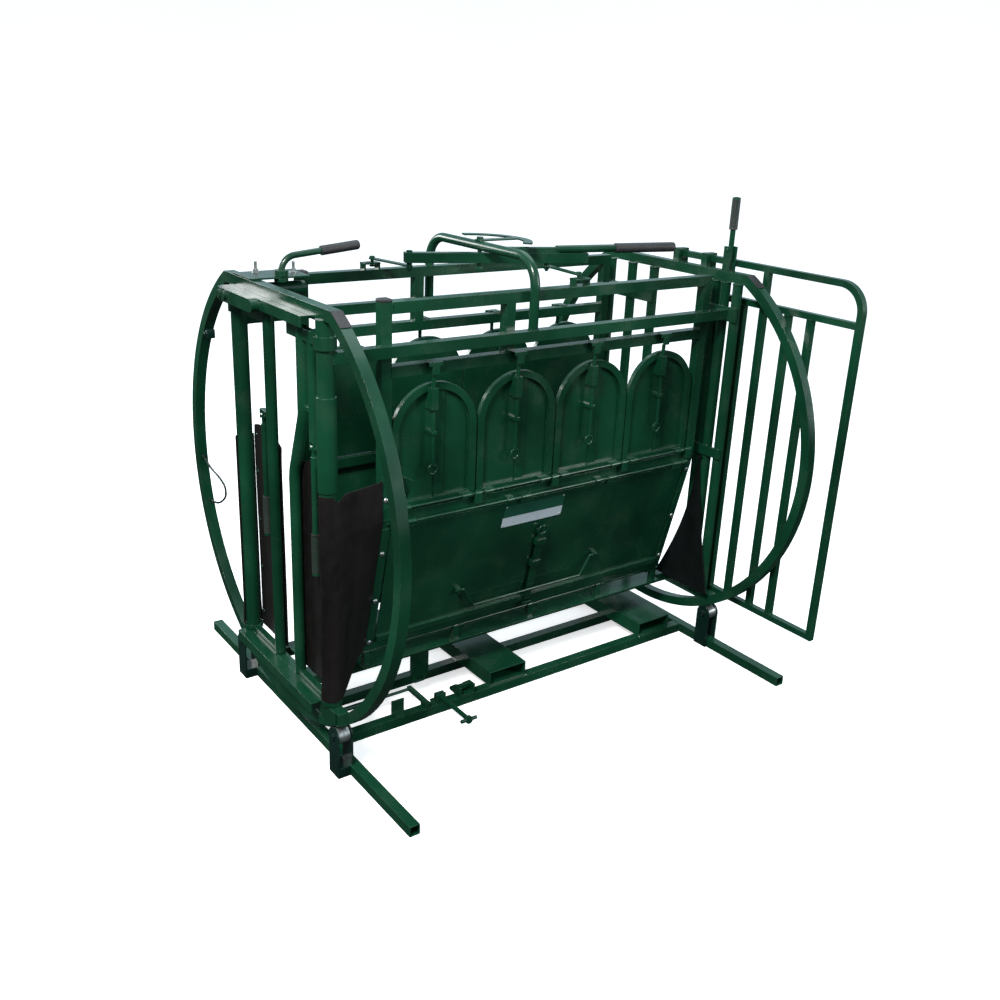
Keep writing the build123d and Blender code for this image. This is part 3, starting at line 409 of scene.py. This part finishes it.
class Parts:
    """Gathers many small solids into one mesh. Sizes in mm."""

    def __init__(self):
        self.verts, self.faces = [], []

    def add(self, verts, faces):
        base = len(self.verts)
        self.verts += [Vector(v) for v in verts]
        self.faces += [tuple(base + i for i in face) for face in faces]

    def rings(self, rings):
        """Skin a list of equal closed rings of points in metres, and close both ends."""
        n, last = len(rings[0]), len(rings) - 1
        verts = [v for ring in rings for v in ring]
        faces = [(i * n + j, i * n + (j + 1) % n, (i + 1) * n + (j + 1) % n, (i + 1) * n + j)
                 for i in range(last) for j in range(n)]
        faces += [tuple(range(n))[::-1], tuple(last * n + j for j in range(n))]
        self.add(verts, faces)

    def turned(self, start, direction, profile, sides):
        """Turned part: profile holds (distance along, radius) from start."""
        start, direction = Vector(start) * MM, Vector(direction).normalized()
        side = direction.orthogonal().normalized()
        other = direction.cross(side)
        self.rings([circle(start + direction * along * MM, side, other, radius * MM, sides)
                    for along, radius in profile])

    def bolt(self, place, direction, across, height):
        """Washer, chamfered hexagon head and the bolt's end, by the size across the flats."""
        washer, corner, shank = across * 0.72, across / math.sqrt(3), across * 0.26
        top = height + 2.0
        for profile, sides in (
                ([(-0.5, washer), (1.8, washer), (2.3, across * 0.66)], 20),
                ([(2.0, corner), (top - 1.2, corner), (top, corner * 0.86)], 6),
                ([(top - 0.4, shank), (top + 2.2, shank), (top + 3.0, across * 0.2)], 14)):
            self.turned(place, direction, profile, sides)

    def dome(self, place, direction, radius, height):
        """Round cup head."""
        profile = [(-0.5, radius)]
        for degrees in (8, 25, 45, 62, 78, 86):
            a = math.radians(degrees)
            profile.append((height * math.sin(a), radius * math.cos(a)))
        self.turned(place, direction, profile, 20)

    def bead(self, points, radius, seed):
        """Weld bead along a line of points: overlapping ripples of uneven width."""
        ripple, end_size, swell, spread, sides = 0.0028, 0.45, 0.16, 0.10, 6
        rng = random.Random(seed)
        points = [Vector(p) * MM for p in points]
        line = []
        for a, b in zip(points, points[1:]):
            steps = max(2, int((b - a).length / ripple))
            line += [a.lerp(b, k / steps) for k in range(steps)]
        line.append(points[-1])
        rings = []
        for k, centre in enumerate(line):
            ahead = heading(line, k)
            side = ahead.orthogonal().normalized()
            end = end_size if k in (0, len(line) - 1) else 1.0
            r = radius * MM * end * (1.0 + swell * (k % 2) + rng.uniform(-spread, spread))
            rings.append(circle(centre, side, ahead.cross(side), r, sides))
        self.rings(rings)

    def round_bead(self, x, y, z, ring, step, radius, seed):
        """Level weld bead round an upright tube, with a point every step degrees."""
        self.bead([(x + ring * math.cos(math.radians(a)), y + ring * math.sin(math.radians(a)), z)
                   for a in range(0, 361, step)], radius, seed)

    def wire(self, points, radius):
        """Round wire along a smooth line through points."""
        line = smooth_path(points)
        side, rings = Vector((1, 0, 0)), []
        for k, centre in enumerate(line):
            other = heading(line, k).cross(side).normalized()
            rings.append(circle(centre * MM, side, other, radius * MM, 10))
        self.rings(rings)

    def box(self, lo, hi, chamfer):
        """Box between two corners, with rounded edges."""
        bm = bmesh.new()
        bmesh.ops.create_cube(bm, size=1.0)
        for v in bm.verts:
            v.co = Vector(((lo[i] + hi[i]) / 2 + v.co[i] * (hi[i] - lo[i])) * MM for i in range(3))
        bmesh.ops.bevel(bm, geom=bm.edges[:], offset=chamfer * MM, segments=2,
                        affect="EDGES", profile=0.5)
        bm.verts.ensure_lookup_table()
        self.add([v.co.copy() for v in bm.verts],
                 [tuple(v.index for v in f.verts) for f in bm.faces])
        bm.free()

    def place(self, name, body, material, slot=None):
        """Make the gathered solids one piece. The slot is not used; weld beads pass none."""
        return add_piece(name, self.verts, self.faces, body, material)


def smooth_path(points, steps=8):
    """Catmull-Rom line through points in mm."""
    points = [Vector(p) for p in points]
    padded = [points[0] * 2 - points[1], *points, points[-1] * 2 - points[-2]]
    line = []
    for a, b, c, d in zip(padded, padded[1:], padded[2:], padded[3:]):
        for k in range(steps):
            t = k / steps
            line.append(0.5 * ((2 * b) + (c - a) * t + (2 * a - 5 * b + 4 * c - d) * t * t
                               + (3 * b - a - 3 * c + d) * t ** 3))
    return line + [points[-1]]


def slab(grid, thickness):
    """Closed sheet of the given thickness (mm) about a grid of points in mm: verts and faces."""
    rows, cols = len(grid), len(grid[0])
    normals = []
    for i in range(rows):
        line = []
        for j in range(cols):
            du = grid[i][min(j + 1, cols - 1)] - grid[i][max(j - 1, 0)]
            dv = grid[min(i + 1, rows - 1)][j] - grid[max(i - 1, 0)][j]
            line.append(du.cross(dv).normalized())
        normals.append(line)
    verts = [(grid[i][j] + normals[i][j] * thickness * side) * MM
             for side in (-0.5, 0.5) for i in range(rows) for j in range(cols)]
    count = rows * cols
    faces = []
    for layer in (0, count):
        for i in range(rows - 1):
            for j in range(cols - 1):
                a = layer + i * cols + j
                faces.append((a, a + 1, a + cols + 1, a + cols))
    rim = list(range(cols)) + [i * cols + cols - 1 for i in range(1, rows)]
    rim += [(rows - 1) * cols + j for j in range(cols - 2, -1, -1)]
    rim += [i * cols for i in range(rows - 2, 0, -1)]
    for a, b in zip(rim, rim[1:] + rim[:1]):
        faces.append((a, b, count + b, count + a))
    return verts, faces


def lay_sheet(name, grid, thickness, body, material):
    """Rubber sheet about a grid of points, held by the nodes it rests on."""
    verts, faces = slab(grid, thickness)
    piece = add_piece(name, verts, faces, body, material)
    return piece


# ---- rubber belting -----------------------------------------------------------------------------
def ease(t):
    """0 to 1 with a level start and end."""
    return t * t * (3 - 2 * t)


def round_post(x, y, radius, angle, z):
    return Vector((x + radius * math.cos(angle), y + radius * math.sin(angle), z))


def near_belt():
    """Belting wrapped round the near post and drawn back to the strip on the squeeze side."""
    wrap, strip_x = POST_R + 3.2, -707.0
    knee_y, knee_z, lean = -316.9, 864.9, 0.2444    # the strip's edge leans in below the knee
    rows, arc, flat = 34, 16, 18        # arc columns go round the post, flat ones back to the strip
    grid = []
    for i in range(rows + 1):
        t = i / rows
        line = []
        for j in range(arc + flat + 1):
            peak = 24 * math.exp(-((j - arc - 1.5) / 1.6) ** 2)
            top = 1008 - peak + 3 * j / (arc + flat)
            foot = BELT_FOOT + 70 * ease(max(0.0, (j - arc) / flat))
            z = foot + (top - foot) * t
            strip_y = knee_y + lean * max(0.0, knee_z - z)
            flare = wrap + 5.0 * math.exp(-((z - BELT_FOOT) / 60.0) ** 2)
            along, across = strip_x - FRONT_X, strip_y + POST_Y
            leave = math.atan2(across, along) + math.asin(flare / math.hypot(across, along))
            start, end = math.radians(176), math.radians(270) + leave
            if j <= arc:
                point = round_post(FRONT_X, -POST_Y, flare, start + (end - start) * j / arc, z)
            else:
                k = (j - arc) / flat
                off_post = round_post(FRONT_X, -POST_Y, flare, end, z)
                point = off_post.lerp(Vector((strip_x, strip_y, z)), k)
                point.y += 4.0 * math.sin(math.pi * k) * math.sin(3.1 * t * math.pi + 0.6)
            line.append(point)
        grid.append(line)
    belt = lay_sheet("near_belt", grid, 5.2, None, belting)
    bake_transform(belt)
    return belt


def far_wrap():
    """Belting round the front of the far post, with a dipped top edge and a flared foot."""
    rows, cols = 24, 18
    grid = []
    for i in range(rows + 1):
        t = i / rows
        line = []
        for j in range(cols + 1):
            top = 1030 - 26 * math.sin(math.pi * j / cols)
            z = BELT_FOOT + (top - BELT_FOOT) * t
            flare = POST_R + 3.0 + 4.0 * math.exp(-((z - BELT_FOOT) / 50.0) ** 2)
            line.append(round_post(FRONT_X, POST_Y, flare, math.radians(184 - 196 * j / cols), z))
        grid.append(line)
    return lay_sheet("far_wrap", grid, 5.0, "crate", belting)


def door_belt(name, body, y_post, y_neck, dip):
    """Hanging sheet behind a door's pipes: a shallow bow, a rolled top edge and a slack foot."""
    back_x, foot, rows, cols = -889, 270, 32, 22
    grid = []
    for i in range(rows + 1):
        t = i / rows
        line = []
        for j in range(cols + 1):
            u = j / cols
            top = 1085 - dip * (1 - math.cos(math.pi * (u - 0.15))) * 0.5 - 10 * (2 * u - 1) ** 4
            bow = 2.2 * math.sin(math.pi * u * 2 + 0.5) * math.sin(math.pi * t * 1.5 + 0.4)
            curl = 1.6 * max(0.0, (t - 0.9) / 0.1) ** 2
            line.append(Vector((back_x + bow + curl, y_post + (y_neck - y_post) * u,
                                foot + (top - foot) * t)))
        grid.append(line)
    return lay_sheet(name, grid, 5.4, body, belting)


def tail_flap():
    """Triangular flap beside the tail posts: curved upper edges, its foot nearly on the sill."""
    x, rows, cols = 821.5, 28, 16
    near, apex, far = Vector((x, -419, 256)), Vector((x, -297, 850)), Vector((x, -112, 256))
    grid = []
    for i in range(rows + 1):
        t = i / rows
        left = near.lerp(apex, t) + Vector((0, 10 * math.sin(math.pi * t), 0))
        right = far.lerp(apex, t) + Vector((0, -36 * math.sin(math.pi * t), 0))
        line = []
        for j in range(cols + 1):
            u = j / cols
            point = left.lerp(right, u)
            point.x += 1.8 * math.sin(math.pi * u) * math.sin(2.2 * math.pi * t)
            line.append(point)
        grid.append(line)
    # the apex is a short edge, not a point
    grid[-1] = [p + Vector((0, (j - cols / 2) * 1.6, 0)) for j, p in enumerate(grid[-1])]
    return lay_sheet("tail_flap", grid, 4.6, "crate", flap_rubber)


belt, wrap = near_belt(), far_wrap()
tail_flap()
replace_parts(belt, "side_belting")
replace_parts(wrap, "crate_rubber")
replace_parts(door_belt("near_door_belt", "head_door_near", -288, -60, 46), "door_belt_near")
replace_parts(door_belt("far_door_belt", "head_door_far", 288, 68, 30), "door_belt_far")


# ---- grips --------------------------------------------------------------------------------------
def ribbed(length, radius, pitch=6.5, collar=8.0):
    """Profile of a moulded grip: collar, fine ribs and a domed end."""
    valley, crest = radius * 0.95, radius * 0.99
    profile = [(0, radius * 0.80), (0.5, radius * 0.98), (collar, radius), (collar + 1.5, valley)]
    along = collar + 3
    while along < length - radius * 0.9:
        profile += [(along, valley), (along + pitch * 0.25, crest),
                    (along + pitch * 0.6, crest), (along + pitch * 0.85, valley)]
        along += pitch
    for degrees in (10, 28, 46, 62, 76, 86):
        a = math.radians(degrees)
        profile.append((length - radius * 0.5 * (1 - math.sin(a)), radius * 0.97 * math.cos(a)))
    return profile


def grip(name, start, end, radius, body, replaced=None):
    """Ribbed grip between two points, which may stand for a plain one in the CAD."""
    parts = Parts()
    span = Vector(end) - Vector(start)
    parts.turned(start, span, ribbed(span.length, radius), 32)
    piece = parts.place(name, body, grip_black, "black_plastic")
    if replaced:
        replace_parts(piece, replaced)


def rocker_lever(along, z):
    """Point on the rocker's lever, which stands off the bow's middle at 20 degrees."""
    a = math.radians(-20)
    return (-125 + along * math.cos(a), along * math.sin(a), z)


grip("squeeze_hand_grip", rocker_lever(520, 1705.3), rocker_lever(765, 1710.9), 18.3,
     "rocker", "squeeze_grip")
head_lever_bend, head_lever_run = Vector((-806, 190, 1678)), Vector((246, -3, 26))
head_grip_start = head_lever_bend + head_lever_run * 0.585
grip("head_hand_grip", head_grip_start, head_grip_start + head_lever_run.normalized() * 150, 17,
     "head_lever", "head_lever_grip")
grip("tail_hand_grip", (875, -288, 1768), (875, -288, 1892), 16.8, "tail_lever")
for side, (x, y, z) in (("near", (-912, -236, 1138)), ("far", (-918, 137, 1150))):
    grip(f"neck_hand_grip_{side}", (x, y, z - 298), (x, y, z - 451), 15.6, f"neck_lever_{side}")

# ---- fasteners ----------------------------------------------------------------------------------
OUTWARD = (0, *OUT)         # square to the near side's leaning part

strip_bolts = Parts()
strip_bolts.dome((-690, -315, 941), (0, -1, 0), 10, 6)
for x, distances in ((-690, (133, 339, 530)), (741, (60, 290, 500))):
    for distance in distances:
        strip_bolts.dome(on_lean(x, distance, 22.8), OUTWARD, 10, 6)
strip_bolts.place("side_strip_bolts", "near_side", zinc_plain, "zinc")

for side, sign in SIDES:
    door_bolts = Parts()
    for z in (330, 520, 710, 900, 1040):
        door_bolts.dome((-892.4, sign * 268, z), (-1, 0, 0), 9, 5)
        door_bolts.dome((-886.0, sign * 268, z), (1, 0, 0), 9, 5)
    door_bolts.place(f"door_belt_bolts_{side}", f"head_door_{side}", green_dark, "dark_paint")

for side, sign in SIDES:
    cap, y, half = Parts(), sign * 296, 20.5
    cap.box((-709.5, y - half, 1600), (-668.5, y + half, 1612), 4.0)
    cap.place(f"side_post_cap_{side}", f"{side}_side", grip_black, "black_plastic")


# ---- name plate without lettering ---------------------------------------------------------------
def plate(name, near, far, material):
    """Thin plate lying on the lower panel between two distances down from the knee."""
    x0, x1, thickness, face = -185, 95, 1.6, 21.0
    grid = [[on_lean(x0 + (x1 - x0) * j / 6, near + (far - near) * i / 4, face + thickness / 2)
             for j in range(7)] for i in range(5)]
    verts, faces = slab(grid, thickness)
    add_piece(name, verts, faces, "lower_panel", material)


plate("side_plate_band", 48, 100, plate_green)
plate("side_plate_foot", 100.2, 142, plate_pale)
plate_rivets = Parts()
for x in (-178, 88):
    for distance in (54, 136):
        plate_rivets.dome(on_lean(x, distance, 22.5), OUTWARD, 4, 2.5)
plate_rivets.place("side_plate_rivets", "lower_panel", zinc_plain, "zinc")

# ---- weld beads ---------------------------------------------------------------------------------
# Each bead's ripples are drawn from its own seed, counted on from bead to bead.
RAIL_Y = (-241, 0, 241)                             # the base's three long rails
seed = 11
base_welds = Parts()
for x in (-856, 856):
    for y in RAIL_Y:
        left, right = y - HALF_TUBE, y + HALF_TUBE
        base_welds.bead([(x, left, 1), (x, left, 37.5), (x, right, 37.5), (x, right, 1)], 2.8, seed)
        seed += 1
for x in (-95, 700):                                # the fork pockets
    for y in RAIL_Y:
        for edge in (-88, 88):
            base_welds.bead([(x + edge, y - 18, 38.5), (x + edge, y + 18, 38.5)], 2.6, seed)
            seed += 1
base_welds.place("welds_base", "base", green)

crate_welds = Parts()
for _, sign in SIDES:
    for z in (1433, 1471):                          # the fixed rail on the front hoop
        crate_welds.bead([(-884, sign * 318, z), (-884, sign * 356, z)], 2.4, seed)
    # the foot of the bow, the foot of the head post, and the floor rail on the front hoop
    crate_welds.round_bead(-125, sign * 337, 1472, 18, 30, 2.4, seed + 1)
    crate_welds.round_bead(FRONT_X, sign * POST_Y, 245.5, POST_R + 1, 24, 2.4, seed + 2)
    rail_end = ((101, 206), (101, 243.5), (139, 243.5), (139, 206))
    crate_welds.bead([(-893, sign * y, z) for y, z in rail_end], 2.6, seed + 3)
    seed += 5
for y in (-370, -305, -255, 100, 235, 370):         # both ends of the tail posts
    for z in (245.5, 1569.5):
        crate_welds.round_bead(850, y, z, 21, 30, 2.3, seed)
        seed += 1
crate_welds.place("welds_crate", "crate", green)

for side, sign in SIDES:
    side_welds, face_y = Parts(), sign * 315.5
    for z in (870, 1376, 1582):                     # the rails on the end posts
        for x in (-670, 722):
            side_welds.bead([(x, face_y, z - HALF_TUBE), (x, face_y, z + HALF_TUBE)], 2.3, seed)
            seed += 1
    for z in (1395.5, 1562.5):                      # the middle post between the rails
        for x in (-224, -186):
            side_welds.bead([(x, sign * 314, z), (x, sign * 278, z)], 2.2, seed)
            seed += 1
    side_welds.place(f"welds_{side}_side", f"{side}_side", green)

gate_welds = Parts()
for y in (-239, -341, -444, -568, -675):            # both ends of the gate's uprights
    for z in (252.5, 1481.5):
        for x, own_seed in ((917.5, seed), (942.5, seed + 1)):
            gate_welds.bead([(x, y - 12.5, z), (x, y + 12.5, z)], 1.9, own_seed)
        seed += 2
for z in (1494, 240):                               # its rails on the outer upright
    gate_welds.bead([(917.7, -877.5, z - 12.5), (917.7, -877.5, z + 12.5)], 1.1, seed)
    seed += 1
gate_welds.place("welds_gate", "tail_gate", green)

# ---- wire loop and stop lug on the front hoop ---------------------------------------------------
hoop_wire = Parts()
hoop_wire.wire([(-912, 772, 812), (-912, 690, 786), (-912, 606, 772), (-911, 556, 748),
                (-909, 566, 702), (-911, 640, 655), (-912, 742, 640)], 4.2)
hoop_wire.dome((-912, 768, 812), (0, -0.97, -0.24), 9, 5)
hoop_wire.place("hoop_wire_loop", "crate", green_dark, "dark_paint")
stop_lug = Parts()
stop_lug.box((-927, 604, 1326), (-897, 640, 1360), 3.0)
stop_lug.bolt((-927, 618, 1343), (-1, 0, 0), 15, 6)
stop_lug.place("hoop_stop_lug", "crate", green_dark, "dark_paint")
